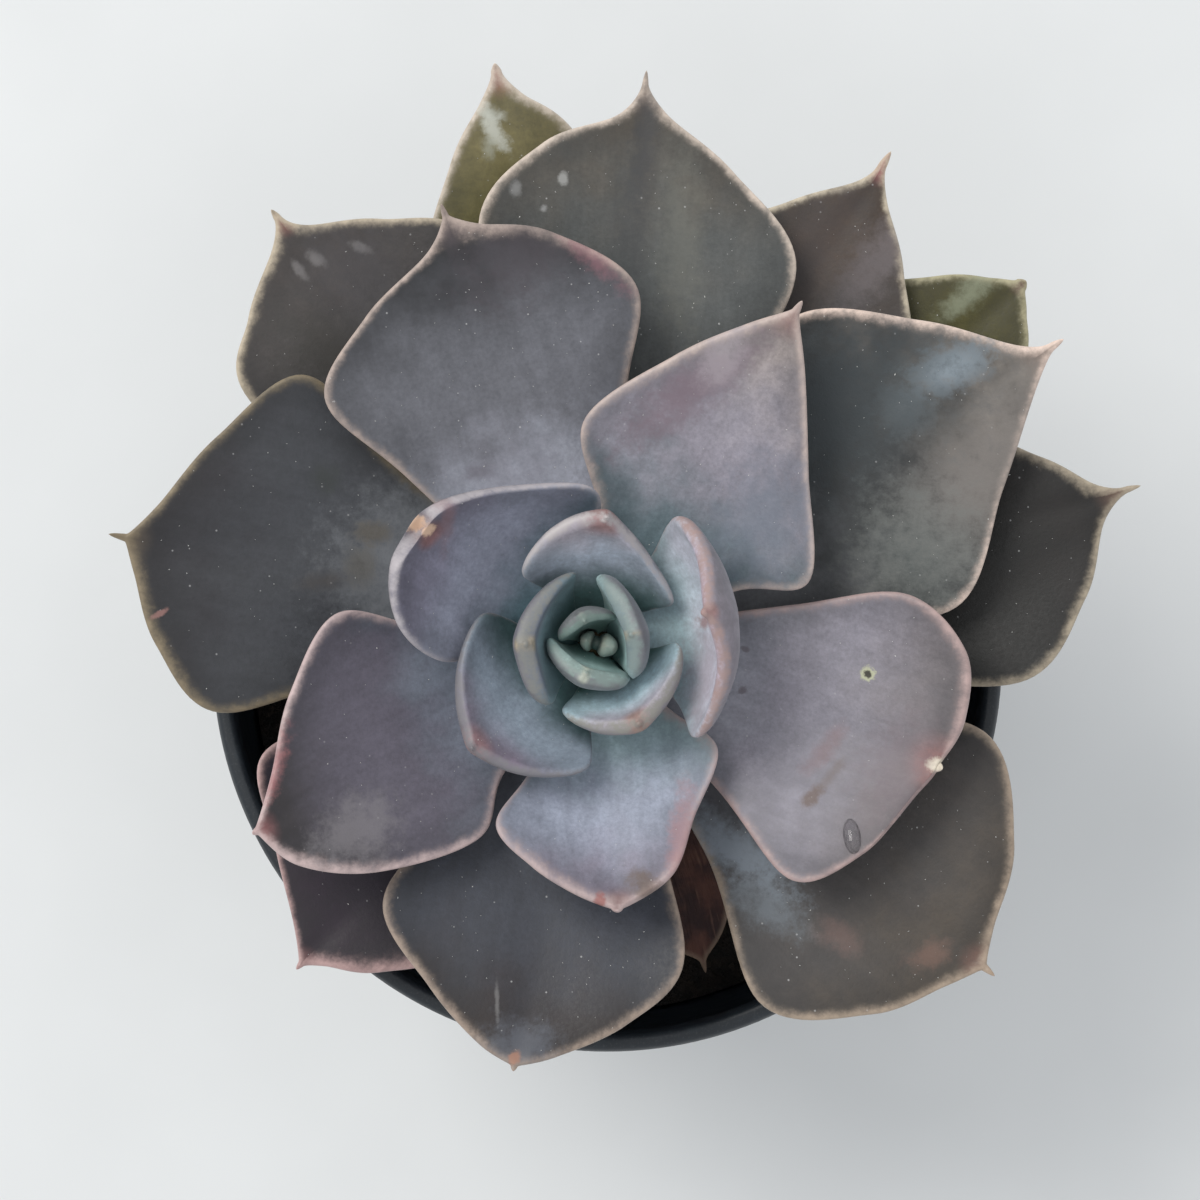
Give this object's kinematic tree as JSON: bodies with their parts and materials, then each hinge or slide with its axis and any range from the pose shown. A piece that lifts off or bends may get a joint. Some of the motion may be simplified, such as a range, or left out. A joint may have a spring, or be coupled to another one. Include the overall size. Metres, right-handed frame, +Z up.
{
  "type": "potted echeveria",
  "caption": "Rosette succulent with broad waxy grey-lavender leaves, pale margins and pointed tips, rooted in soil in a round black plastic nursery pot.",
  "frame": {"origin": "centre of the pot's underside, on the surface that it stands on", "axes": "+Z up along the pot's axis; +Y is the top of the picture and +X its right"},
  "size_m": [0.1289, 0.1291, 0.1268],
  "materials": {
    "pot_plastic": "black polypropylene with a soft sheen",
    "potting_soil": "dark crumbly potting mix",
    "stem_bark": "short ringed stem with old leaf scars",
    "leaf_young": "blue-green waxy leaf with a pale margin",
    "leaf_grown": "grey-lavender waxy leaf, powdery bloom, pink-cream margin",
    "leaf_old": "dark olive-grey waxy leaf with a tan margin",
    "leaf_dry": "withered papery leaf"
  },
  "bodies": {
    "root": {"pot": "pot_plastic", "soil": "potting_soil", "stem": "stem_bark", "heart": "leaf_young", "leaf_01": "leaf_young", "leaf_02": "leaf_young", "leaf_03": "leaf_young", "leaf_04": "leaf_young", "leaf_05": "leaf_young", "leaf_06": "leaf_young", "leaf_07": "leaf_young", "leaf_08": "leaf_young", "leaf_09": "leaf_young", "leaf_10": "leaf_grown", "leaf_11": "leaf_grown", "leaf_12": "leaf_grown", "leaf_13": "leaf_grown", "leaf_14": "leaf_grown", "leaf_15": "leaf_grown", "leaf_16": "leaf_grown", "leaf_17": "leaf_grown", "leaf_18": "leaf_grown", "leaf_19": "leaf_old", "leaf_20": "leaf_old", "leaf_21": "leaf_old", "leaf_22": "leaf_old", "leaf_23": "leaf_old", "leaf_24": "leaf_old", "leaf_25": "leaf_old", "withered_leaf": "leaf_dry", "shed_leaf": "leaf_old"}
  },
  "joints": []
}
